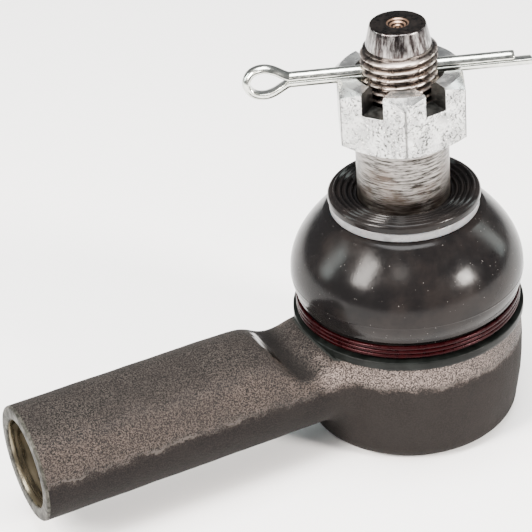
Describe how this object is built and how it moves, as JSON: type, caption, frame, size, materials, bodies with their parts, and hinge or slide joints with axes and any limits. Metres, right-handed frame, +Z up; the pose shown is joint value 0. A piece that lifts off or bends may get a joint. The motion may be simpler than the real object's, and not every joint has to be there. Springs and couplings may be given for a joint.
{
  "type": "tie rod end",
  "caption": "Outer tie rod end: ball stud with castle nut and split pin, standing in a round forged socket under a rubber boot, with a female-threaded shank to one side.",
  "frame": {"origin": "centre of the socket's base, on the ball stud's axis at rest", "axes": "+Z up along the ball stud, towards its threaded tip; -X along the shank, towards its threaded mouth; +Y completes the right-handed frame"},
  "size_m": [0.0869, 0.0374, 0.0697],
  "materials": {
    "forged_steel": "shot-blasted forging scale, warm grey, machined at the collar, shank end and bore",
    "pressed_steel": "plain pressed sheet, phosphated grey",
    "spring_steel": "oiled spring steel",
    "bearing_resin": "natural acetal, smooth",
    "machined_steel": "turned steel, silver body and darker phosphated thread",
    "boot_rubber": "near-black satin moulded rubber",
    "white_plastic": "smooth white plastic",
    "red_lacquered_wire": "spring wire under dark red lacquer, glossy",
    "zinc_plate": "bright zinc plate with fine dark pores",
    "zinc_wire": "bright zinc plate, faintly yellow"
  },
  "bodies": {
    "housing": {"housing": "forged_steel", "end_cover": "pressed_steel", "preload_spring": "spring_steel", "lower_seat": "bearing_resin", "upper_seat": "bearing_resin", "boot_lower_ring": "red_lacquered_wire"},
    "boot": {"boot": "boot_rubber"},
    "boot_collar": {"boot_upper_ring": "white_plastic"},
    "stud": {"ball_stud": "machined_steel", "castle_nut": "zinc_plate"},
    "split_pin": {"split_pin": "zinc_wire"}
  },
  "joints": [
    {"name": "stud_swing", "type": "hinge", "parent": "housing", "child": "boot", "pos_m": [0, 0, 0.0155], "axis": [0, 1, 0], "range_deg": [-18, 18], "deforming": ["boot"]},
    {"name": "stud_tilt", "type": "hinge", "parent": "boot", "child": "boot_collar", "pos_m": [0, 0, 0.0155], "axis": [1, 0, 0], "range_deg": [-18, 18], "deforming": ["boot"]},
    {"name": "stud_spin", "type": "hinge", "parent": "boot_collar", "child": "stud", "pos_m": [0, 0, 0.0155], "axis": [0, 0, 1], "continuous": true},
    {"name": "split_pin_slide", "type": "slide", "parent": "stud", "child": "split_pin", "axis": [-0.9272, 0.3746, 0], "range_m": [-0.007, 0.04]}
  ]
}
